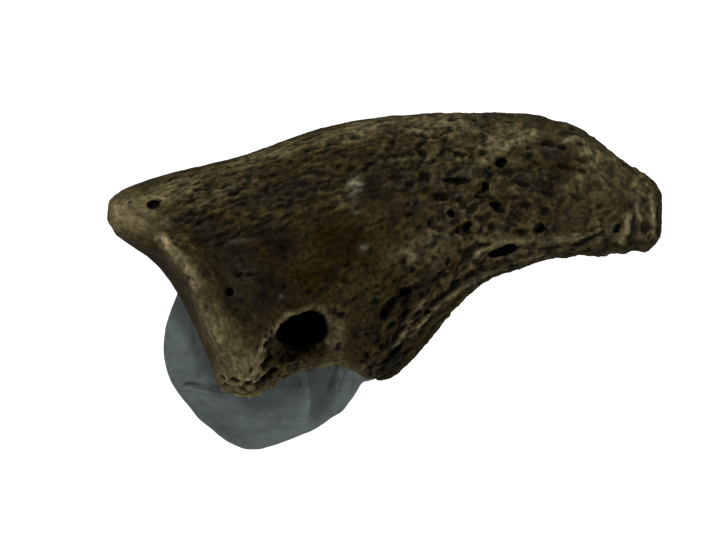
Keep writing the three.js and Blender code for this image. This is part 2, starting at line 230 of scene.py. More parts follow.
class Surface:
    """A fine even mesh as arrays: its points, its normals, and which points lie side by side."""

    def __init__(self, piece):
        mesh = self.mesh = piece.data
        self.points = mesh_points(mesh)
        self.normals = numbers(mesh.vertices, "normal", 3).astype(float)
        edges = numbers(mesh.edges, "vertices", 2, np.int32)
        corners = numbers(mesh.loops, "vertex_index", 1, np.int32)
        first = numbers(mesh.polygons, "loop_start", 1, np.int32)
        first = first[numbers(mesh.polygons, "loop_total", 1, np.int32) == 4]
        across = [np.stack([corners[first + k], corners[first + k + 2]], axis=1) for k in (0, 1)]
        pairs = np.concatenate([edges, *across])
        self.here = np.concatenate([pairs[:, 0], pairs[:, 1]])
        self.there = np.concatenate([pairs[:, 1], pairs[:, 0]])

    def lay_fibres(self, direction, noise):
        """Turns a direction into the surface, so that streaks follow it, a little wavily."""
        out = (direction * self.normals).sum(axis=1)
        laid = direction - out[:, None] * self.normals
        self.fibre = laid / np.maximum(np.linalg.norm(laid, axis=1), 1e-6)[:, None]
        bend = [noise.smooth(self.points * BEND_SCALE + 19 * k) for k in range(3)]
        self.wave = FIBRE_WAVE * np.stack(bend, axis=1)

    def blurred(self, values, times):
        """Each point's value mixed with its neighbours', times over."""
        total = 1 + 0.5 * np.bincount(self.here, minlength=len(values))
        for _ in range(times):
            beside = np.bincount(self.here, values[self.there], len(values))
            values = (values + 0.5 * beside) / total
        return values

    def streaks(self, noise, width, length, steps):
        """Noise drawn out along the fibres, about from -2 to 2: width and length in millimetres."""
        total = np.zeros(len(self.points))
        for step in np.linspace(-0.5, 0.5, steps):
            total += noise.smooth((self.points + self.wave + self.fibre * step * length) / width + length)
        return total / total.std()


# The bone's forms.

# The direction of the bone's fibres, in degrees from +x, at places of the drawing.
FIBRES = [
    (3, 16.5, 22), (8, 17.3, 20), (14, 19, 24), (20, 21, 18), (27, 22.5, 8), (34, 23, 2), (40, 22, -18),
    (46, 19, -40), (7.5, 14.5, 26), (12, 14, 24), (17, 15, 22), (22, 17, 18), (28, 18, 12), (35, 18, 5),
    (42, 17, -20), (47.5, 14.5, -70), (5, 12.8, -45), (8.5, 8.5, -60), (11, 4, -66), (12.5, 1.5, -66),
    (14.5, 6.5, -40), (15, 10, 18), (20, 9.5, 28), (24, 11, 26), (28, 12, 22), (33, 13.4, 20),
    (38, 13.5, 10), (44, 13.5, 0), (21, 4, 88), (22.5, 2, 80), (24.4, 2, 68), (27, 3.5, 55), (29, 5.5, 50),
    (32, 8, 38), (35, 10, 26), (40, 11.5, 12), (46, 12.3, 5), (24.5, 7.5, 40), (27.5, 9.3, 32),
    (13, -0.8, -5), (15.2, 0.8, 35), (17.5, 1.6, 20),
]
FIBRE_BLEND = 1.2  # millimetres over which one place's direction turns into the next

# Single pits of the upper side: x, y, length, width, depth and turn from +x.
PITS = [
    # The knuckle and the side behind the joint's rim.
    (4.5, 15.7, 1.3, 0.6, 0.5, -0.1), (2.4, 16, 0.3, 0.3, 0.25, 0),
    (11.4, 8, 0.62, 0.6, 0.5, 0), (12.1, 9.5, 0.8, 0.4, 0.5, 0.15),
    (13.2, 9.5, 0.9, 0.25, 0.25, 0), (16.2, 11, 0.7, 0.3, 0.25, 0.1),
    (18.4, 8.1, 0.6, 0.45, 0.35, 0.1), (5.4, 10.5, 0.7, 0.35, 0.2, -0.9),
    # Right of the vessel hole.
    (21.2, 5.9, 0.6, 0.55, 0.6, 0), (20.7, 6.5, 0.4, 0.35, 0.35, 0),
    (22.5, 7.4, 0.6, 0.3, 0.3, 0.5), (24, 7, 0.5, 0.35, 0.35, 0.6),
    (19.9, 9, 0.35, 0.3, 0.2, 0),
    # Above the sole's knob.
    (26.7, 10.6, 0.55, 0.5, 0.45, 0), (27.6, 9.8, 0.45, 0.45, 0.45, 0),
    (24.7, 10.8, 0.45, 0.3, 0.25, 0.3), (26.6, 9.25, 0.6, 0.25, 0.3, 0.2),
    (30.1, 9.6, 0.8, 0.3, 0.3, 0.3), (28.1, 13.7, 0.4, 0.4, 0.35, 0),
    (29, 13.9, 0.4, 0.5, 0.35, 0.3), (26.8, 7.9, 0.9, 0.6, 0.6, 0.5),
    (25.7, 6.9, 1, 0.5, 0.5, 0.9), (25, 6.2, 1, 0.5, 0.5, 1.2),
    (28.2, 7.6, 0.8, 0.3, 0.35, 1.3), (31.4, 8.9, 0.9, 0.35, 0.4, 0.3),
    (27.9, 5.9, 1, 0.4, 0.5, 1.1), (28.9, 6.2, 0.8, 0.35, 0.45, 1),
    (26.5, 4.4, 1.1, 0.6, 0.5, 0.7), (26, 2.4, 1.6, 0.5, 0.55, 1),
    (25.2, 1.7, 1.4, 0.4, 0.5, 1.1), (24.4, 1.5, 0.9, 0.5, 0.4, 0.4),
    (23.4, 2.2, 0.75, 0.3, 0.45, 1.5), (20.9, 3, 0.8, 0.3, 0.3, 1.5),
    (23.4, 4.2, 0.35, 0.3, 0.25, 0),
    # The channel and the corner.
    (14.6, 1.7, 1.3, 1, 0.75, 0.9), (15.9, 1.9, 0.6, 0.45, 0.4, 0),
    (16.6, 2.2, 0.45, 0.3, 0.3, 0), (14.6, 3.4, 0.9, 0.5, 0.45, 1),
    (15.2, 3.7, 0.6, 0.4, 0.4, 1), (14.9, 2.8, 0.7, 0.5, 0.45, 0.6),
    (15.1, 4.5, 0.6, 0.35, 0.35, 1.2), (15.9, 5.1, 0.5, 0.3, 0.3, 0.9),
    (10.7, 0.25, 0.7, 0.7, 0.5, -0.8), (11.8, 0.1, 1, 0.8, 0.6, 0.1),
    (12.9, -0.2, 0.7, 0.9, 0.6, -0.4), (12.45, -0.65, 0.65, 0.9, 0.55, 0.3),
    (11, -0.35, 0.5, 0.5, 0.3, 0.2), (13.6, -0.8, 0.6, 0.7, 0.5, 0.2),
    (13.9, -0.2, 0.8, 0.7, 0.4, 0.9), (14.7, 0.35, 1.4, 0.9, 0.75, -0.2),
    (13.8, -0.5, 1, 0.7, 0.55, 0.9),
    # The pitted half towards the tip.
    (33.9, 17.2, 0.9, 0.65, 0.6, 0.2), (33.3, 16.4, 0.8, 0.7, 0.6, 0.8),
    (34.7, 15.6, 0.9, 0.5, 0.55, -0.5), (35.3, 15.1, 0.6, 0.5, 0.5, -0.3),
    (30.8, 14.9, 0.6, 0.55, 0.55, 0.3), (31.4, 13.4, 0.6, 0.5, 0.45, 0.1),
    (32.3, 13.7, 1.1, 0.5, 0.5, 0.6), (33.8, 12.1, 1.1, 0.35, 0.35, 0),
    (38.8, 13.6, 0.95, 0.6, 0.55, 0), (45.7, 13.6, 1.3, 0.5, 0.45, 1.2),
    (44.2, 15.6, 1, 0.5, 0.3, 0.9), (35.2, 19.5, 1.3, 0.6, 0.4, 0.7),
    (37.8, 20, 0.7, 0.5, 0.4, 0.3), (39.5, 21.3, 1.3, 0.6, 0.4, 0.5),
    (40.6, 20.9, 1.2, 0.5, 0.4, -0.5), (42.5, 21.1, 0.9, 0.4, 0.35, -0.2),
    (40.9, 19, 1, 0.5, 0.35, -0.3), (37.4, 17.5, 1.4, 0.5, 0.35, -0.2),
    (39.3, 16.7, 1.3, 0.5, 0.4, -0.4), (41.8, 16.4, 1.2, 0.4, 0.3, -0.5),
    (31.3, 17.8, 2.6, 0.35, 0.4, 0), (28.6, 18.1, 0.9, 0.7, 0.35, 0.2),
    (27.2, 17.5, 0.7, 0.5, 0.3, 0.6), (27, 15.7, 0.5, 0.35, 0.35, 0.2),
    (27.2, 14.8, 0.6, 0.4, 0.4, -0.3), (30.4, 16.6, 0.9, 0.4, 0.35, -0.5),
    (30.2, 20.4, 0.8, 0.5, 0.35, 0.8), (28.4, 20.4, 0.5, 0.45, 0.35, 0),
    (30.3, 21.5, 0.8, 0.4, 0.3, 0), (36.2, 23.2, 1.2, 0.3, 0.25, 0),
    (26.6, 18.9, 0.4, 0.3, 0.3, 0), (42.7, 18.6, 1.4, 0.4, 0.3, -0.3),
    (43.5, 13.5, 1.6, 0.4, 0.35, 0.4), (22, 18.9, 1.1, 0.5, 0.3, 0.4),
    (23.9, 19.3, 1.2, 0.45, 0.3, 0.3), (15.6, 19.7, 0.9, 0.3, 0.3, 0.4),
    (9.2, 17.5, 1.2, 0.3, 0.25, 0.2),
]

# Raised lines: how high, how wide, how pale, and the line that each follows.
RIDGES = [
    (0.16, 0.4, 0.4, [(33.6, 19.3), (35.4, 20.5), (37, 21.6), (38.4, 22.2)]),
    (0.14, 0.22, 0.7, [(41, 21.3), (42.2, 21.7), (43.2, 21.2), (43.3, 20.4), (42.6, 20.1)]),
    (0.12, 0.2, 0.7, [(42.2, 18.1), (43.1, 18.5), (44.2, 18.1), (44.7, 17.2)]),
    (0.3, 0.3, 1, [(46.7, 14.6), (46.6, 13.4), (46.1, 12.4)]),
    (0.2, 0.22, 0.8, [(48.7, 16.4), (49, 14.8), (49.1, 13)]),
    (0.14, 0.2, 0.6, [(47.4, 15.8), (47.8, 14.2), (47.7, 13)]),
    (0.16, 0.3, 0.5, [(33, 11.2), (34.4, 12), (36.6, 12.6), (38.6, 12.4), (42, 12.7)]),
    (0.12, 0.22, 0.5, [(37.2, 11.8), (39, 11.9), (41.6, 12)]),
    (0.14, 0.28, 1, [(20.2, 1.5), (18.4, 0.9), (17.2, 0.6), (16.1, 0.1), (15.4, -0.45), (14.7, -1.05)]),
    (0.12, 0.35, 1, [(10.7, -0.9), (12.3, -1.4), (13.6, -1.2), (14.7, -0.95)]),
    (0.12, 0.25, 0.9, [(16.4, 6), (15.6, 5), (14.6, 3.9), (14.1, 2.6), (13.7, 1.2), (13, 0.3)]),
    (0.1, 0.25, 0.7, [(16.4, 6.1), (17.4, 6.6), (18.6, 6.9), (19.6, 6.5), (20.1, 5.4), (20, 3.6)]),
    (0.14, 0.45, 0.8, [(5.2, 12.9), (7.6, 10.2), (8.3, 8.6), (8.9, 6.6), (10.4, 3.8)]),
    (0.1, 0.2, 0.6, [(30.5, 7.3), (33, 9), (35.6, 10.2), (39, 11.3)]),
    (0.14, 0.18, 0.7, [(26.4, 4), (27.8, 6.2), (28.6, 7.2)]),
    (0.14, 0.18, 0.7, [(27.4, 4), (29.2, 6.2), (30.6, 7.4)]),
    (0.12, 0.16, 0.6, [(25.8, 3), (27.2, 4.8)]),
    (0.1, 0.2, 0.6, [(3.6, 16.3), (4.5, 16.5), (5.5, 16.2)]),
]

# Sunk lines: how deep, how wide, and the line that each follows.
GROOVES = [
    (0.5, 0.26, [(34.7, 11.35), (36.2, 11.9)]),
    (0.22, 0.16, [(36.2, 11.9), (38.6, 11.75), (40.4, 11.9), (42.6, 12.1)]),
    (0.25, 0.25, [(42.6, 12.3), (44.4, 13.2)]),
    (0.16, 0.22, [(29.8, 7.4), (32.2, 9.2), (34.4, 10.3)]),
    (0.2, 0.3, [(25, 5.6), (25.9, 7.1), (27.2, 8.2), (28.8, 8.5)]),
]

# Places of the bone: middle, half length and half width, and turn.
KNUCKLE = ((2.2, 15.2), (4.2, 2.6), -0.3)
WING = ((11.4, 4.2), (2.2, 5.6), 0.5)  # between the joint's rim and the vessel hole
COLUMN = ((21.2, 3.4), (1.2, 3.2), 0.0)  # between the vessel hole and the sole's knob
TIP_EDGE = ((45.6, 18.8), (4.6, 1.5), -0.65)
CORNER = ((13.2, -0.7), (3.6, 1.1), 0.05)
KNOB = ((27.4, 4.6), (4.6, 2.2), 0.85)
KNOB_SIDE = ((25.4, 8.0), (6.4, 4.0), 0.4)
KNOB_EDGE = [(24.2, 1.0), (26.4, 2.6), (31.0, 7.6)]

# The joint's face: a place on its rim, the way from there into the bone, and the way that it faces.
JOINT_RIM = (10.1, -0.45)
BEHIND_JOINT = (0.827, 0.562)
JOINT_FACES = (-0.83, -0.56, 0.0)

# The vessel hole with its egg-shaped mouth, and the channel below it.
HOLE_AXIS = ((18.8, 5.5, 2.4), (17.5, 4.4, 9.0))
HOLE_RADIUS = 1.75
HOLE_EGG = ((17.7, 4.6), (2.1, 1.35), 0.3)  # middle, half length and half width, turn
HOLE_EGG_TAPER = 0.1
HOLE_EGG_DEPTH = 1.6
HOLE_LOWER_EDGE = ((17.9, 3.1), (2.1, 1.1), 0.2)  # where the mouth fades into the channel
HOLE_TOP = (17.6, 6.7)  # where the frame's round hole reaches too far up
HOLE_TOP_SHIFT = 0.4
CHANNEL_LINE = [(17.8, 3.2), (16.9, 1.9), (15.6, 0.6), (14.8, -0.6)]
CHANNEL_BORDER = [(16.0, 5.2), (14.8, 3.8), (14.5, 2.4), (13.9, 0.8)]

# How high or deep the relief is, in millimetres.
STRAND_HEIGHTS = (0.016, 0.028, 0.022)  # of the broad, the middle and the thin strands
VEIN_HEIGHT = 0.08
HOLLOW_DEPTH = 0.15
LUMP_HEIGHT = 0.03
CRUMB_HEIGHT = 0.024
SWELLING_HEIGHT = 0.16
CORNER_HEIGHTS = (0.16, 0.08)  # of the lumps and the crumbs
CHANNEL_HEIGHTS = (0.2, 0.12)
LIP_HEIGHT = 0.035  # round a pit
CRUST_HEIGHT = 0.05
BACK_TRIM = 0.09  # how far the back and the knob draw in, so that their outline is the photo's
KNOB_TRIM = 0.1
TIP_WORN = 0.15  # how much less the worn tip reaches than the frame's
LEVEL_RANGE = 0.22  # from the lowest to the highest that the shade of the relief tells apart

# Smoothing passes, each over about one voxel.
SOFTENED = 40  # for the softer surface that pits and shade are measured from
PIT_EDGE_BLUR = 5

# Seeds of the bone's noise and of its scattered pits.
BONE_SEED = 41
PIT_SEED = 17

PIT_LENGTH_SPREAD = 0.32
PIT_WOBBLE = [(1.3, 0.5), (2.3, 0.7), (4.3, 0.35)]  # how fine and how much the pits' edges wander

# How dark the painted shade in the single pits is, and how much less dark towards the tip, from where to
# where.
PIT_DARK = 0.9
PIT_PALER = 0.42
PIT_PALER_ALONG = (28.0, 36.0)

# Kinds of scattered pits: where, how many, middle length, flatness, depth to width, how far they turn from
# the fibres, and how dark their painted shade is.
SCATTERED = [
    ("pitted", 260, 0.5, (0.4, 0.8), 0.4, 0.5, 0.6),
    ("pitted", 650, 0.32, (0.5, 0.9), 0.45, 0.6, 0.6),
    ("everywhere", 800, 0.38, (0.45, 0.9), 0.35, 0.3, 0.55),
    ("striated", 600, 0.6, (0.3, 0.45), 0.4, 0.15, 0.7),
    ("rough_knob", 150, 0.75, (0.3, 0.5), 0.8, 0.25, 0.85),
    ("knob_side", 120, 0.4, (0.4, 0.8), 0.5, 0.5, 0.65),
    ("channel", 50, 0.6, (0.5, 0.9), 0.5, 0.8, 0.9),
    ("spongy", 120, 0.55, (0.4, 0.7), 0.7, 0.6, 0.9),
    ("near_tip", 60, 0.5, (0.35, 0.7), 0.5, 0.5, 0.5),
]

# Tones of the upper side: place, half length and half width, turn, and strength.
TAN_PLACES = [
    # The knuckle, the joint's rim, the wing and the corner.
    ((2, 15.2), (3.6, 2.6), -0.3, 0.8),
    ((6, 17), (4.6, 1.2), 0.35, 0.7),
    ((7.2, 10.6), (0.9, 3.6), 0.72, 0.7),
    ((10.2, 17.2), (4, 1.4), 0.3, 0.3),
    ((11, 3.6), (1.7, 4.6), 0.5, 0.65),
    ((12.6, 0.8), (3, 2.4), 0.05, 0.95),
    ((16.6, 0.8), (2.6, 0.8), 0.45, 0.6),
    # Right of the vessel hole, and the lower edge from there.
    ((20.8, 3.6), (0.8, 3), 0, 0.4),
    ((21.4, 1.2), (2.6, 0.8), -0.3, 0.5),
    # Along the back: partly the bone's paler tone, partly painted light on the upper edge.
    ((14.6, 20.2), (5.6, 0.9), 0.33, 0.45),
    ((22.6, 22.4), (4.6, 1.2), 0.25, 0.65),
    ((30, 23), (6, 1.4), 0.05, 0.7),
    ((36, 21.8), (5, 1.8), 0, 0.7),
    ((44.4, 19.6), (4, 1.6), -0.65, 0.7),
    # The half towards the tip, and the tip.
    ((43.4, 16), (3.6, 2.6), 0.1, 0.3),
    ((48, 14.6), (2, 3.6), 0, 0.26),
    ((47.8, 17.4), (1.6, 2.2), -0.6, 0.65),
    ((43, 12.8), (5, 0.8), 0.1, 0.5),
    ((35.6, 12), (4.6, 1), 0.1, 0.4),
    ((31.6, 20), (3.6, 1.2), 0.1, 0.25),
    ((32.4, 15.6), (2.6, 1.2), 0.1, 0.25),
    ((27.6, 11.6), (3, 1.6), 0.2, 0.35),
    ((21.6, 16), (1.6, 0.8), 0.2, 0.3),
]
DARK_PLACES = [
    # Behind the joint's rim and above the vessel hole.
    ((10.8, 12.4), (3.8, 1.6), -0.6, 0.8),
    ((11, 13.6), (3.6, 1.3), -0.1, 0.6),
    ((12.4, 10), (3, 2.8), -0.3, 0.75),
    ((14.6, 8.2), (2.2, 2.8), 0.1, 0.95),
    ((12.2, 7), (1.8, 1.8), 0.4, 0.7),
    ((15.6, 12.6), (3.4, 2), 0.1, 0.7),
    # Along the upper side.
    ((15.6, 16.4), (4.6, 1.6), 0.2, 0.35),
    ((24.4, 17.6), (4.6, 1.8), 0.15, 0.8),
    ((28, 12.2), (3.2, 0.8), 0.1, 0.5),
    ((34.6, 15.6), (1.8, 1.2), 0.1, 0.6),
    ((29.2, 17.4), (2.6, 1.6), 0.1, 0.6),
    ((27.6, 15.8), (2.8, 0.9), 0.1, 0.5),
    ((37, 18.2), (3, 1.4), -0.25, 0.7),
    ((40.4, 20.8), (2.6, 1.2), -0.3, 0.6),
    ((39.6, 15), (2.4, 1.2), -0.5, 0.45),
    ((30.2, 12.8), (2.6, 0.8), 0.2, 0.4),
    ((37.2, 13.2), (2.6, 0.7), 0.1, 0.3),
    # The channel and the sole's knob.
    ((16.2, 2.4), (1.8, 2.4), -0.6, 0.8),
    ((22.6, 5.2), (0.9, 2.6), -0.1, 0.6),
    ((25.2, 4.4), (2.6, 3.6), 0.6, 0.6),
    ((25.8, 1.8), (2.2, 1.4), 0.9, 0.95),
    ((26.4, 6.8), (2.4, 1.2), 0.8, 0.8),
    ((31.6, 8.4), (4.6, 0.8), 0.6, 0.6),
]
OCHRE_PLACES = [
    ((18.6, 9.4), (3.4, 2.6), 0.2, 1),
    ((21, 12.2), (3.8, 3.2), 0.3, 1.2),
    ((24.8, 10.8), (3, 2.4), 0.2, 0.5),
    ((12.8, 12.4), (3.4, 1.8), -0.5, 0.45),
    ((20.8, 15.6), (2.6, 1.2), 0.1, 0.7),
    ((15.2, 11.8), (3.6, 2), 0.1, 0.8),
    ((36.2, 10.7), (6, 0.7), 0.25, 0.6),
    ((17.4, 1.8), (2.8, 1.4), 0.3, 1),
    ((25.4, 13), (2.6, 2.6), 0.1, 0.4),
    ((36.6, 13.8), (2.6, 1), 0, 0.3),
]
OLIVE_PLACES = [
    ((42.8, 15.4), (2.2, 1.5), 0, 0.45),
    ((10.2, 17.2), (4, 1.6), 0.3, 0.45),
    ((27.2, 20), (3.4, 1.2), 0.15, 0.5),
    ((9.6, 13.4), (2.6, 1.4), -0.6, 0.5),
    ((16, 16.6), (5.2, 1.6), 0.15, 0.6),
    ((31.4, 18), (3.2, 0.9), 0.1, 0.7),
    ((38.8, 17.2), (3.2, 0.8), -0.3, 0.6),
    ((12.2, 9.2), (2, 2.2), 0.2, 0.5),
    ((26, 2.2), (1.6, 1), 0.9, 0.6),
]
# The tones in the order that they are laid on. The number picks the pattern of the lower side.
TONES = [
    ("tan", TAN_PLACES, 4),
    ("dark", DARK_PLACES, 14),
    ("ochre", OCHRE_PLACES, 24),
    ("olive", OLIVE_PLACES, 34),
]
# Small patches of each tone on the pitted half: how strong, how fine, and where in the noise.
MOTTLES = {
    "tan": [(0.22, 0.9, 401)],
    "dark": [(0.32, 0.55, 113), (0.5, 1.25, 151)],
    "ochre": [(0.35, 0.8, 307)],
    "olive": [(0.75, 0.7, 203)],
}
CRUST_PLACES = [
    ((22.3, 17.2), (0.8, 1.2), -0.3, 0.9),
    ((22.5, 15), (0.6, 0.25), 0.1, 0.5),
    ((23.2, 11.9), (0.6, 0.4), 0.5, 0.7),
    ((12.2, 12.5), (1.4, 0.4), 0.1, 0.3),
    ((15.9, 7.6), (0.25, 0.25), 0, 0.6),
    ((30, 12.6), (1.6, 0.8), 0.3, 0.3),
    ((5.8, 14.2), (0.8, 0.5), 0, 0.5),
]


def lie_of_fibres(points):
    """The fibres' direction at each point, between the places where it is given."""
    total = np.zeros((len(points), 2))
    for x, y, degrees in FIBRES:
        apart = (points[:, 0] - x) ** 2 + (points[:, 1] - y) ** 2
        nearness = (apart + FIBRE_BLEND**2) ** -2.0
        double = 2 * math.radians(degrees)
        total += nearness[:, None] * np.array([math.cos(double), math.sin(double)])
    angle = np.arctan2(total[:, 1], total[:, 0]) / 2
    return np.stack([np.cos(angle), np.sin(angle), np.zeros(len(points))], axis=1)


class Bone(Surface):
    """The bone's surface, with the masks that its forms and its colours share."""

    def __init__(self, piece):
        super().__init__(piece)
        self.noise = Noise(BONE_SEED)
        self.lay_fibres(lie_of_fibres(self.points), self.noise)
        self.height = np.abs(self.points[:, 2])
        self.patchy = self.noise.layers(self.points * 0.45 + 71, 2)
        self.find_cut_pits()
        self.find_smooth_bone()
        self.find_hole()
        self.find_rough_bone()

    def find_cut_pits(self):
        """A softer copy of the surface, and how far inside the frame's own pits and slit each point lies."""
        self.softened = np.stack([self.blurred(along, SOFTENED) for along in self.points.T], axis=1)
        sunk = ((self.softened - self.points) * self.normals).sum(axis=1)
        self.cut = ramp(sunk, 0.05, 0.16)

    def find_smooth_bone(self):
        """The joint's face, the knuckle and the other smooth places."""
        p = self.points
        behind = (p[:, 0] - JOINT_RIM[0]) * BEHIND_JOINT[0] + (p[:, 1] - JOINT_RIM[1]) * BEHIND_JOINT[1]
        facing = self.normals @ np.array(JOINT_FACES)
        self.joint_face = ramp(facing, 0.55, 0.8) * ramp(behind, 5.0, 3.0)
        self.column = blob(p, *COLUMN)
        smooth = blob(p, *WING) + 0.85 * blob(p, *KNUCKLE) + 0.7 * self.column + self.joint_face
        self.smooth_bone = np.clip(smooth + 0.6 * blob(p, *TIP_EDGE), 0, 1)

    def find_hole(self):
        """The vessel hole with its mouth, the channel below it, the spongy bone beside them, and the painted
        shadow that darkens the hole.
        """
        p, height = self.points, self.height
        x, y = p[:, 0], p[:, 1]
        start, end = np.array(HOLE_AXIS)
        upper = np.stack([x, y, height], axis=1) - start
        along = (end - start) / np.linalg.norm(end - start)
        off_axis = np.linalg.norm(upper - (upper @ along)[:, None] * along, axis=1)
        self.hole = ramp(off_axis, HOLE_RADIUS + 0.5, HOLE_RADIUS) * ramp(height, 6.6, 5.4)
        centre, size, turn = HOLE_EGG
        dx, dy = x - centre[0], y - centre[1]
        c, s = math.cos(turn), math.sin(turn)
        egg = np.hypot((dx * c + dy * s) / size[0], (dy * c - dx * s) / (size[1] + HOLE_EGG_TAPER * dx))
        self.egg = ramp(egg, 1.05, 0.9) * ramp(height, 3.0, 3.7)
        # Painted shadow: the hole, its mouth and the way down into the channel are painted near black, where
        # only shade falls.
        fading = 0.95 * blob(p, *HOLE_LOWER_EDGE)
        inside_egg = np.maximum(ramp(egg, 1.2, 1.04), fading) * ramp(height, 2.6, 3.4)
        self.hole_shadow = np.maximum(self.hole, inside_egg)
        self.channel = near_line(p, CHANNEL_LINE, 0.6, 1.0) * ramp(height, 6.6, 5.6) * (1 - self.hole)
        self.corner = blob(p, *CORNER) * ramp(y, 1.2, 0.2)
        border = near_line(p, CHANNEL_BORDER, 0.35, 0.5) * (1 - self.hole)
        self.spongy = np.clip(self.corner + border, 0, 1)
        self.smooth_bone *= 1 - np.clip(1.5 * self.spongy, 0, 1)

    def find_rough_bone(self):
        """The sole's knob, the pitted half, the striated half, the calm half and the tip."""
        p, n = self.points, self.normals
        x, y = p[:, 0], p[:, 1]
        rough_knob = np.maximum(blob(p, *KNOB), 0.9 * near_line(p, KNOB_EDGE, 0.7, 1.2))
        self.rough_knob = np.clip(rough_knob * 1.3 - 0.5 * self.column, 0, 1)
        self.knob_side = blob(p, *KNOB_SIDE) * (p[:, 2] > 0)
        self.pitted = ramp(x + 0.45 * (y - 14) + 1.6 * self.patchy, 23.0, 31.0) * (1 - 0.6 * self.rough_knob)
        self.near_tip = ramp(x + 0.4 * self.patchy, 43.0, 48.5)
        self.calm = ramp(x + 1.5 * self.patchy, 35.0, 42.0)
        striated = ramp(x, 4.5, 8.0) * ramp(x, 27.0, 19.0) * ramp(y - 0.25 * x, 8.5, 11.5)
        self.striated = striated * (1 - self.smooth_bone)
        self.everywhere = (0.3 + 0.7 * ramp(self.patchy, -0.3, 0.4)) * (1 - 0.85 * self.smooth_bone)
        self.back_edge = ramp(n[:, 1], 0.45, 0.85) * ramp(x, 44.0, 39.0)
        self.crust = blobs(p, CRUST_PLACES) * (p[:, 2] > 0)

    def sink_pits(self):
        """Cuts the single and the scattered pits: how deep each point lies, and how much painted shade it
        gets inside one.
        """
        tree = KDTree(len(self.points))
        for i, point in enumerate(self.points):
            tree.insert(point, i)
        tree.balance()
        self.depth, self.inside, self.lip = np.zeros((3, len(self.points)))
        self.wobble = sum(self.noise.smooth(self.points * fine) * much for fine, much in PIT_WOBBLE)
        top = float(self.points[:, 2].max())
        above = BVHTree.FromPolygons(self.points.tolist(), [list(f.vertices) for f in self.mesh.polygons])
        for x, y, length, width, deep, turn in PITS:
            place = above.ray_cast(Vector((x, y, top + 1)), Vector((0, 0, -1)))[0]
            along = np.array([math.cos(turn), math.sin(turn), 0])
            darkness = PIT_DARK - PIT_PALER * ramp(x, *PIT_PALER_ALONG)
            self.sink_pit(tree, place, length, width, deep, along, darkness)
        random = np.random.default_rng(PIT_SEED)
        for mask, count, middle, flatness, steepness, spread, darkness in SCATTERED:
            odds = getattr(self, mask) * (1 - self.hole) * (1 - self.joint_face)
            odds = np.clip(odds * (1 - np.clip(2 * self.crust, 0, 1)), 0, None)
            for i in random.choice(len(odds), count, replace=False, p=odds / odds.sum()):
                length = middle * float(np.exp(random.normal(0, PIT_LENGTH_SPREAD)))
                width = length * random.uniform(*flatness)
                turn = random.normal(0, spread)
                aside = np.cross(self.normals[i], self.fibre[i])
                along = math.cos(turn) * self.fibre[i] + math.sin(turn) * aside
                deep = width * steepness * (1 - 0.35 * self.calm[i])
                shade = darkness * (1 - 0.6 * self.smooth_bone[i]) * (1 - 0.25 * self.calm[i])
                self.sink_pit(tree, self.points[i], length, width, deep, along, shade)

    def sink_pit(self, tree, place, length, width, deep, along, darkness):
        """One oval pit with a wandering edge, painted shade inside and a slight lip."""
        near = np.array([found[1] for found in tree.find_range(place, length * 0.9)], int)
        if len(near) == 0:
            return
        offset = self.points[near] - np.array(place)
        out = self.normals[near].mean(axis=0)
        ahead = offset @ along
        aside = offset @ np.cross(out / np.linalg.norm(out), along)
        away = np.hypot(ahead / length, aside / width) * 2
        away += self.wobble[near] * np.clip(away, 0, 1)
        sunk = np.clip(1 - away * away, 0, 1) ** 0.9
        self.depth[near] = np.maximum(self.depth[near], sunk * deep)
        dark = darkness * min(1, 0.35 + deep * 1.6) * ramp(away, 1.5, 0.35)
        self.inside[near] = np.maximum(self.inside[near], dark)
        self.lip[near] = np.maximum(self.lip[near], ramp(np.abs(away - 1.2), 0.35, 0) * min(1, width * 1.6))

    def trim_edges(self):
        """How far the back and the sole's knob draw in, so that their outline is the photo's."""
        x, n = self.points[:, 0], self.normals
        back = ramp(n[:, 1], 0.35, 0.75) * ramp(x, 44.0, 40.0)
        knob = ramp(n @ np.array([0.6, -0.8, 0.0]), 0.5, 0.9) * ramp(np.abs(x - 27.0), 5.0, 3.0)
        return BACK_TRIM * back + KNOB_TRIM * knob

    def weave(self):
        """The relief of strands, veins, hollows, lumps and crumbs, with their masks for the material."""
        p, noise = self.points, self.noise
        broad = self.streaks(noise, 1.0, 2.4, 7)
        middle = self.streaks(noise, 0.46, 1.3, 7)
        thin = self.streaks(noise, 0.3, 0.9, 7)
        veins = noise.veins(p * 0.6 + 3, 0.26)
        lumps = noise.layers(p * 0.9 + 77, 3)
        crumbs = noise.layers(p * 2.2 + 31, 2)
        hollow = ramp(noise.layers(p * 0.62 + 3 * self.wave + 51, 3), -0.02, 0.5)
        swellings = noise.layers(p * 0.42 + 91, 2)

        rough = (1 - 0.65 * self.smooth_bone) * (1 - 0.6 * self.back_edge) * (1 - 0.4 * self.calm)
        strands = 0.45 + 0.8 * self.striated + 1.6 * self.rough_knob + 0.1 * self.pitted
        web = self.pitted * rough
        high_broad, high_middle, high_thin = STRAND_HEIGHTS
        rise = (broad * high_broad + middle * high_middle + thin * high_thin) * strands * rough
        hollowed = hollow * HOLLOW_DEPTH * (1 - 0.5 * self.near_tip)
        rise += web * (veins * VEIN_HEIGHT - hollowed + lumps * LUMP_HEIGHT)
        rise += (lumps * LUMP_HEIGHT + crumbs * CRUMB_HEIGHT) * rough
        rise += self.calm * swellings * SWELLING_HEIGHT
        rise += self.corner * (lumps * CORNER_HEIGHTS[0] + crumbs * CORNER_HEIGHTS[1])
        rise += self.channel * (lumps * CHANNEL_HEIGHTS[0] + crumbs * CHANNEL_HEIGHTS[1])

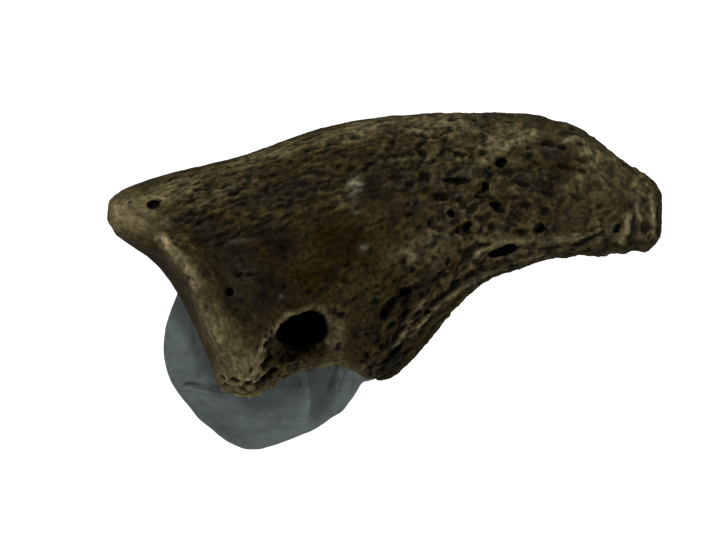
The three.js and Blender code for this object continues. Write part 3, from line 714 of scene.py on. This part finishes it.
        streaky = 0.1 * middle + 0.13 * thin + 0.04 * broad
        strand = streaky * (0.5 + 0.8 * np.clip(self.striated + self.rough_knob, 0, 1)) + 0.24 * crumbs
        strand = strand * (1 - 0.35 * self.calm) + self.channel * (0.5 * crumbs + 0.4 * lumps)
        self.strand = np.clip(0.5 + strand, 0, 1)
        self.web = np.clip(web * veins, 0, 1)
        self.hollow = np.clip(web * hollow, 0, 1)
        self.rough = rough
        return rise

    def draw_lines(self, rise):
        """Adds the raised and the sunk lines to the relief."""
        p = self.points
        self.pale = np.zeros(len(p))
        upper = self.normals[:, 2] > 0.05
        broken = 0.75 + 0.5 * self.noise.smooth(p * 1.3 + 40)
        for high, wide, pale, line in RIDGES:
            near = np.exp(-((distance_to_line(p, line) / wide) ** 2)) * upper * broken
            rise += high * near
            self.pale = np.maximum(self.pale, pale * near)
        self.groove = np.zeros(len(p))
        for deep, wide, line in GROOVES:
            near = np.exp(-((distance_to_line(p, line) / wide) ** 2)) * broken
            rise -= deep * near
            self.groove = np.maximum(self.groove, near)

    def shape(self):
        """Moves each point of the surface to where the finished bone has it."""
        p, n = self.points, self.normals
        rise = self.weave()
        self.sink_pits()
        rise += self.lip * LIP_HEIGHT * self.rough
        rise -= self.depth * (0.35 + 0.65 * self.rough) * (1 - self.crust)
        rise += CRUST_HEIGHT * self.crust
        rise -= self.egg * HOLE_EGG_DEPTH + self.near_tip * ramp(n[:, 0], 0.0, 0.5) * TIP_WORN
        rise -= self.trim_edges()
        self.draw_lines(rise)
        rise = 0.5 * rise + 0.5 * self.blurred(rise, 1)
        # The relief's local height, which the material turns into painted shade in the low places and painted
        # light on the high ones.
        local = rise - self.blurred(rise, SOFTENED)
        self.level = np.clip(0.5 + local / LEVEL_RANGE, 0, 1)

        moved = p + self.near_tip[:, None] * (self.softened - p) + n * rise[:, None]
        off_top = np.hypot(p[:, 0] - HOLE_TOP[0], (p[:, 1] - HOLE_TOP[1]) * 1.4)
        moved[:, 1] -= HOLE_TOP_SHIFT * np.exp(-((off_top / 1.3) ** 2)) * ramp(p[:, 2], 3.0, 5.0)
        set_points(self.mesh, moved)

    def colour(self):
        """Masks for the material, one for each tone that the stained bone shows."""
        p, noise = self.points, self.noise
        patchy = noise.layers(p * 0.4 + 21, 3)
        finely_patchy = noise.layers(p * 1.3 + 27, 2)
        lower = ramp(p[:, 2], 1.5, -1.5)
        for name, places, seed in TONES:
            tone = blobs(p, places) * (1 + 0.3 * patchy + 0.25 * finely_patchy)
            below = np.clip(0.2 + 0.6 * noise.layers(p * 0.13 + seed, 2), 0, 1)
            tone += lower * (below - tone)
            for strength, scale, shift in MOTTLES[name]:
                patches = ramp(noise.layers(p * scale + shift, 2), 0.1, 0.6)
                tone = np.maximum(tone, strength * self.pitted * patches)
            if name == "dark":
                # Painted shade: darker still in the channel and in the hollows of the pitted bone.
                for more in (0.5 * self.channel, 0.8 * self.hollow * (1 - 0.3 * self.calm)):
                    tone = np.maximum(tone, more)
            add_mask(self.mesh, name, tone)
        # Painted shade inside the pits, in the frame's own pits and slit, and along the sunk lines.
        pit = np.maximum(self.inside * (1 - self.crust), (0.9 - 0.25 * self.pitted) * self.cut)
        pit = 0.5 * pit + 0.5 * self.blurred(pit, PIT_EDGE_BLUR)
        add_mask(self.mesh, "pit", pit + 0.8 * self.groove)
        for name in ("level", "strand", "web", "pale"):
            add_mask(self.mesh, name, getattr(self, name))
        add_mask(self.mesh, "hole", self.hole_shadow)
        speckled = 0.6 + 0.4 * ramp(noise.layers(p * 1.6 + 61, 2), -0.7, 0.1)
        add_mask(self.mesh, "crust", self.crust * speckled)


def unwrap(piece):
    """Lays the smooth surface out flat, before the pits and fibres are pressed into it."""
    bpy.context.view_layer.objects.active = piece
    piece.select_set(True)
    piece.data.uv_layers.new(name="OFBake")
    bpy.ops.object.mode_set(mode="EDIT")
    bpy.ops.mesh.select_all(action="SELECT")
    bpy.ops.uv.smart_project(angle_limit=1.15, island_margin=0.004, scale_to_bounds=True)
    bpy.ops.object.mode_set(mode="OBJECT")
    piece.select_set(False)


def make_bone():
    piece = remeshed_copy("claw_bone", "bone_surface", BONE_VOXEL, BONE_SMOOTHING)
    unwrap(piece)
    bone = Bone(piece)
    bone.shape()
    bone.colour()
    into_scene(piece)
    piece.data.materials.append(bone_material())
    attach(piece, "root")
    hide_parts("claw_bone")


# The putty's forms.

# Sharp creases and scratches: how deep, how wide, and the line that each follows.
PUTTY_CREASES = [
    (0.3, 0.18, [(7, -0.6), (8.6, -0.8), (11, -1.2)]),
    (0.1, 0.14, [(7.2, -1.2), (8.8, -2.6)]),
    (0.08, 0.13, [(7.8, -1.2), (9.6, -2.2)]),
    (0.1, 0.13, [(20.8, 1.4), (20.3, 0.3), (19.9, -1.2)]),
    (0.1, 0.13, [(21.4, 1.4), (21.3, 0.2), (20.9, -0.9)]),
    (0.1, 0.13, [(22.2, 1), (22.2, -0.1)]),
    (0.08, 0.25, [(10.4, -4.6), (13.6, -4.9), (16.6, -4.4)]),
    (0.06, 0.2, [(11.4, -3.2), (15.4, -3.6)]),
]
# The lip of the fold under the vessel hole, and how far the putty drops beside it.
PUTTY_FOLD = [(17.6, 1.6), (18.2, 0.0), (18.4, -1.8), (18.0, -4.6)]
PUTTY_FOLD_DROP = 0.55
PUTTY_LIP_HEIGHT = 0.22
PUTTY_BESIDE_BONE = [(5.2, 8.2), (7.6, 4.2), (9.6, 0.6), (10.2, -1.0)]  # where it runs in under the rim
PUTTY_LEFT_LOBE = (8.4, 7.0)  # from where to where it gets calm
PUTTY_CALMED = 80  # smoothing passes there
PUTTY_SMEARED = (0.96, -0.28, 0.0)  # the way that it was smeared
PUTTY_SEED = 5
# How much fuller than the frame's it is: everywhere, and besides on its lower left.
PUTTY_FULLER = 0.06
PUTTY_FULLER_LEFT = 0.16
PUTTY_FOOT = (0.3, 1.5)  # between these heights over the table its forms set in

# Its imprint: the gap that the frame leaves, how near it comes, and how far from the bone it starts.
PUTTY_GAP = 0.3
PUTTY_CLEARANCE = 0.04
PUTTY_PULL_REACH = 0.9


class Putty(Surface):
    """The putty's surface, with its smears, its creases and its fold."""

    def __init__(self, piece):
        super().__init__(piece)
        self.noise = Noise(PUTTY_SEED)
        self.lay_fibres(np.tile(PUTTY_SMEARED, (len(self.points), 1)), self.noise)

    def smear(self):
        """The soft unevenness all over, and the calm left lobe."""
        points, noise = self.points, self.noise
        self.rise = noise.layers(points * 0.3, 2) * 0.05 + noise.layers(points * 1.1, 2) * 0.012
        self.rise += self.streaks(noise, 1.4, 5.0, 9) * 0.007 + self.streaks(noise, 0.5, 2.5, 9) * 0.003
        lower_left = ramp(self.normals @ np.array([-0.7, -0.7, 0.0]), 0.3, 0.8)
        self.rise += PUTTY_FULLER + PUTTY_FULLER_LEFT * lower_left
        left_lobe = ramp(points[:, 0], *PUTTY_LEFT_LOBE)[:, None]
        calmed = np.stack([self.blurred(along, PUTTY_CALMED) for along in points.T], axis=1)
        self.points = points + left_lobe * (calmed - points)

    def press_creases(self):
        upper = self.normals[:, 2] > -0.2
        self.crease = np.zeros(len(self.points))
        for deep, wide, line in PUTTY_CREASES:
            away = distance_to_line(self.points, line) / wide
            sunk = np.exp(-away * away)
            self.crease = np.maximum(self.crease, sunk * min(1, deep * 2))
            self.rise -= deep * (sunk - 0.35 * np.exp(-((away - 2.2) ** 2))) * upper

    def lay_fold(self):
        """The lip of the fold, the drop beside it, and the painted light and painted shade that go with them.
        """
        x, y = self.points[:, 0], self.points[:, 1]
        beside = x - np.interp(y, *np.array(PUTTY_FOLD)[::-1, ::-1].T)
        reach = ramp(y, 3.0, 2.0) * ramp(y, -4.8, -3.4)
        drop = ramp(beside, -0.2, 0.35) * ramp(beside, 3.2, 1.0) * reach
        lip = np.exp(-(((beside + 0.3) / 0.42) ** 2)) * reach
        self.rise += (PUTTY_LIP_HEIGHT * lip - PUTTY_FOLD_DROP * drop) * (self.normals[:, 2] > -0.3)
        valley = np.exp(-(((beside - 0.9) / (0.8 + 0.15 * np.clip(y + 3, 0, 4))) ** 2)) * reach
        beside_bone = 0.75 * near_line(self.points, PUTTY_BESIDE_BONE, 0.3, 1.2)
        # Painted light on the lower right and on the fold's lip; painted shade in the creases, in the valley
        # beside the fold and beside the bone.
        add_mask(self.mesh, "painted_light", 0.8 * ramp(x - 0.7 * y, 13.0, 20.0) + 0.9 * lip)
        add_mask(self.mesh, "shaded", np.maximum(np.maximum(self.crease, 0.6 * valley), beside_bone))

    def shape(self):
        low, high = (height - float(DRAWING_ORIGIN.z / MM) for height in PUTTY_FOOT)
        above_foot = ramp(self.points[:, 2], low, high)
        self.smear()
        self.press_creases()
        self.lay_fold()
        set_points(self.mesh, self.points + self.normals * (self.rise * above_foot)[:, None])
        press_to_bone(self.mesh)


def make_putty():
    piece = remeshed_copy("putty_lump", "putty_surface", PUTTY_VOXEL, PUTTY_SMOOTHING)
    Putty(piece).shape()
    into_scene(piece)
    piece.data.materials.append(putty_material())
    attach(piece, "root")
    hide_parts("putty_lump")


def press_to_bone(mesh):
    """Moves the putty's imprint out to the bone, over the gap that the frame leaves."""
    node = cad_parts["claw_bone"].data
    corners = to_drawing(mesh_points(node))
    faces = [tuple(face.vertices) for face in node.polygons]
    tree = BVHTree.FromPolygons([Vector(c) for c in corners], faces)
    points = mesh_points(mesh)
    for i, point in enumerate(points):
        nearest, _, _, away = tree.find_nearest(Vector(point), PUTTY_PULL_REACH)
        if nearest is None:
            continue
        near = ramp(away, PUTTY_PULL_REACH, PUTTY_GAP + 0.1)
        pull = (away - PUTTY_CLEARANCE) * near
        points[i] += (np.array(nearest) - point) / away * min(pull, PUTTY_GAP)
    set_points(mesh, points)


# Materials.


class Nodes:
    """A short way to write a material's nodes."""

    def __init__(self, name):
        self.material = bpy.data.materials.new(name)
        self.material.use_nodes = True
        self.tree = self.material.node_tree
        self.shader = self.tree.nodes["Principled BSDF"]

    def new(self, kind):
        return self.tree.nodes.new("ShaderNode" + kind)

    def link(self, source, target):
        self.tree.links.new(source, target)

    def mask(self, name):
        node = self.new("Attribute")
        node.attribute_name = name
        return node.outputs["Fac"]

    def noise(self, scale, detail=4.0, stretch=(1, 1, 1), roughness=0.55):
        place = self.new("TexCoord")
        mapping = self.new("Mapping")
        mapping.inputs["Scale"].default_value = stretch
        self.link(place.outputs["Object"], mapping.inputs["Vector"])
        node = self.new("TexNoise")
        node.inputs["Scale"].default_value = scale
        node.inputs["Detail"].default_value = detail
        node.inputs["Roughness"].default_value = roughness
        self.link(mapping.outputs["Vector"], node.inputs["Vector"])
        return node.outputs["Fac"]

    def spread(self, value, low, high, to_low=0.0, to_high=1.0):
        node = self.new("MapRange")
        ends = {"From Min": low, "From Max": high, "To Min": to_low, "To Max": to_high}
        for name, end in ends.items():
            node.inputs[name].default_value = end
        self.link(value, node.inputs["Value"])
        return node.outputs["Result"]

    def math(self, operation, first, second):
        node = self.new("Math")
        node.operation = operation
        for socket, value in zip(node.inputs, (first, second)):
            if isinstance(value, (int, float)):
                socket.default_value = value
            else:
                self.link(value, socket)
        return node.outputs["Value"]

    def mix(self, share, first, second, blend="MIX"):
        node = self.new("Mix")
        node.data_type = "RGBA"
        node.blend_type = blend
        for socket, value in ((node.inputs[0], share), (node.inputs[6], first), (node.inputs[7], second)):
            if isinstance(value, (int, float)):
                socket.default_value = value
            elif isinstance(value, tuple):
                socket.default_value = (*value, 1)
            else:
                self.link(value, socket)
        return node.outputs[2]

    def bump(self, height, distance, strength=1.0, after=None):
        node = self.new("Bump")
        node.inputs["Distance"].default_value = distance
        node.inputs["Strength"].default_value = strength
        self.link(height, node.inputs["Height"])
        if after is not None:
            self.link(after, node.inputs["Normal"])
        return node.outputs["Normal"]


# How fine the patterns are: how many cells of noise to a metre.
BONE_GRAIN = 2600
BONE_CLOUDS = 420
PUTTY_CLOUDS = 200
PUTTY_GRAIN = 2200
PUTTY_SMEARS = 700

# Tones of the bone, as linear colours.
BONE_BROWN = (0.052, 0.038, 0.013)
BONE_TAN = (0.31, 0.25, 0.118)
BONE_DARK = (0.012, 0.0093, 0.0034)
BONE_OCHRE = (0.0295, 0.0158, 0.0008)
BONE_OLIVE = (0.028, 0.0288, 0.015)
BONE_PALE = (0.33, 0.28, 0.15)
BONE_CRUST = (0.19, 0.185, 0.115)
# Near-black painted shade for the pits and grooves, and painted shadow for the vessel hole.
PIT_SHADOW = (0.006, 0.005, 0.0024)
HOLE_SHADOW = (0.0006, 0.0006, 0.0006)


def bone_material():
    m = Nodes("old_bone")
    fine = m.noise(BONE_GRAIN, 5.0, roughness=0.65)
    cloudy = m.noise(BONE_CLOUDS)

    colour = m.mix(m.mask("ochre"), BONE_BROWN, BONE_OCHRE)
    colour = m.mix(m.mask("tan"), colour, BONE_TAN)
    colour = m.mix(m.mask("dark"), colour, BONE_DARK)
    colour = m.mix(m.math("MULTIPLY", m.mask("olive"), 0.75), colour, BONE_OLIVE)
    colour = m.mix(m.math("MULTIPLY", m.mask("web"), 0.09), colour, BONE_PALE)
    colour = m.mix(m.math("MULTIPLY", m.mask("pale"), 0.6), colour, BONE_PALE)
    colour = m.mix(m.mask("crust"), colour, BONE_CRUST)
    # Painted shade in the low places of the relief and painted light on its high ones.
    relief = m.spread(m.mask("level"), 0.0, 1.0, 0.3, 1.7)
    strands = m.spread(m.mask("strand"), 0.0, 1.0, 0.35, 1.65)
    grains = m.math("MULTIPLY", m.spread(fine, 0.25, 0.75, 0.3, 1.7), m.spread(cloudy, 0.25, 0.75, 0.7, 1.3))
    shade = m.math("MULTIPLY", m.math("MULTIPLY", relief, strands), grains)
    colour = m.mix(1.0, colour, shade, "MULTIPLY")
    # Painted shade in the pits and along the grooves.
    colour = m.mix(m.math("MULTIPLY", m.mask("pit"), 0.85), colour, PIT_SHADOW)
    # Painted shadow in the vessel hole, near black and without sheen.
    colour = m.mix(m.mask("hole"), colour, HOLE_SHADOW)
    m.link(colour, m.shader.inputs["Base Color"])
    m.link(m.spread(m.mask("hole"), 0.0, 0.8, 0.08, 0.0), m.shader.inputs["Specular IOR Level"])

    m.link(m.spread(fine, 0.3, 0.7, 0.55, 0.8), m.shader.inputs["Roughness"])
    normal = m.bump(cloudy, 0.00006, 0.6)
    normal = m.bump(fine, 0.00004, 0.8, after=normal)
    m.link(normal, m.shader.inputs["Normal"])
    return m.material


# Tones of the putty.
PUTTY_TONE = (0.245, 0.3, 0.287)
PUTTY_SHADE = (0.175, 0.215, 0.205)
PUTTY_DIRT = (0.1, 0.12, 0.115)
# Painted light for the lower right and the fold's lip, and painted shade for the creases and beside the bone.
PUTTY_PAINTED_LIGHT = (0.36, 0.44, 0.425)
PUTTY_SHADED = (0.075, 0.085, 0.075)


def putty_material():
    m = Nodes("grey_putty")
    cloudy = m.noise(PUTTY_CLOUDS)
    fine = m.noise(PUTTY_GRAIN)
    smears = m.noise(PUTTY_SMEARS, stretch=(0.3, 1, 1))
    colour = m.mix(m.spread(cloudy, 0.35, 0.7), PUTTY_TONE, PUTTY_SHADE)
    # Painted light, then painted shade.
    colour = m.mix(m.mask("painted_light"), colour, PUTTY_PAINTED_LIGHT)
    colour = m.mix(m.mask("shaded"), colour, PUTTY_SHADED)
    colour = m.mix(m.spread(smears, 0.45, 0.75, 0.0, 0.5), colour, PUTTY_DIRT)
    colour = m.mix(m.spread(fine, 0.4, 0.8, 0.0, 0.45), colour, PUTTY_DIRT)
    m.link(colour, m.shader.inputs["Base Color"])
    m.link(m.spread(smears, 0.3, 0.7, 0.45, 0.62), m.shader.inputs["Roughness"])
    m.shader.inputs["Specular IOR Level"].default_value = 0.3
    normal = m.bump(smears, 0.00006, 0.5)
    normal = m.bump(fine, 0.00002, 0.5, after=normal)
    m.link(normal, m.shader.inputs["Normal"])
    return m.material


# The camera, the floor and the light.

FLOOR_RADIUS = 3.0
FLOOR_TONE = (0.6, 0.6, 0.6)
WHITE = (1, 1, 1, 1)
# Brightness of the floor and of the world: as the camera sees it, and as it lights the part.
FLOOR_BRIGHTNESS = (1.1, 0.0)
WORLD_BRIGHTNESS = (0.9, 0.23)
# The lamps: name, place, size and power.
LIGHTS = [
    ("soft_key", (-0.26, 0.28, 0.42), 0.3, 0.85),
    ("soft_fill", (0.34, -0.22, 0.3), 0.4, 0.2),
]


def photo_point(x, y):
    """The place on the bone's middle plane that a pixel of the photo shows."""
    return Vector((
        DRAWING_ORIGIN.x + (x - PHOTO_ZERO[0]) * PIXEL,
        DRAWING_ORIGIN.y + (PHOTO_ZERO[1] - y) * PIXEL,
        DRAWING_ORIGIN.z,
    ))


def make_camera():
    data = bpy.data.cameras.new("camera")
    data.lens = CAMERA_LENS
    data.sensor_width = SENSOR_WIDTH
    data.clip_start = 0.01
    camera = new_object("camera", data)
    middle = photo_point(PHOTO_SIZE[0] / 2, PHOTO_SIZE[1] / 2)
    distance = PHOTO_SIZE[0] * PIXEL * CAMERA_LENS / SENSOR_WIDTH
    camera.location = middle + Vector((0, 0, distance))
    bpy.context.scene.camera = camera


def seen_by_camera(tree, seen, otherwise):
    """A brightness that differs between what the camera sees and what lights the part."""
    path = tree.nodes.new("ShaderNodeLightPath")
    choice = tree.nodes.new("ShaderNodeMix")
    choice.data_type = "FLOAT"
    tree.links.new(path.outputs["Is Camera Ray"], choice.inputs[0])
    choice.inputs[2].default_value = otherwise
    choice.inputs[3].default_value = seen
    return choice.outputs[0]


def make_floor():
    mesh = bpy.data.meshes.new("floor")
    shape = bmesh.new()
    bmesh.ops.create_circle(shape, cap_ends=True, segments=96, radius=FLOOR_RADIUS)
    shape.to_mesh(mesh)
    shape.free()
    floor = new_object("floor", mesh)
    m = Nodes("white_floor")
    m.shader.inputs["Base Color"].default_value = (*FLOOR_TONE, 1)
    m.shader.inputs["Roughness"].default_value = 0.9
    m.shader.inputs["Specular IOR Level"].default_value = 0.0
    m.shader.inputs["Emission Color"].default_value = WHITE
    m.link(seen_by_camera(m.tree, *FLOOR_BRIGHTNESS), m.shader.inputs["Emission Strength"])
    mesh.materials.append(m.material)


def make_world():
    world = bpy.data.worlds.new("studio")
    bpy.context.scene.world = world
    world.use_nodes = True
    background = world.node_tree.nodes["Background"]
    background.inputs["Color"].default_value = WHITE
    brightness = seen_by_camera(world.node_tree, *WORLD_BRIGHTNESS)
    world.node_tree.links.new(brightness, background.inputs["Strength"])


def make_light(name, place, size, power):
    data = bpy.data.lights.new(name, "AREA")
    data.shape = "DISK"
    data.size = size
    data.energy = power
    light = new_object(name, data)
    light.location = place
    light.rotation_euler = (DRAWING_ORIGIN - Vector(place)).to_track_quat("-Z", "Y").to_euler()


make_camera()
make_bone()
make_putty()
make_floor()
make_world()
for lamp in LIGHTS:
    make_light(*lamp)

bpy.context.scene.view_settings.view_transform = "Standard"
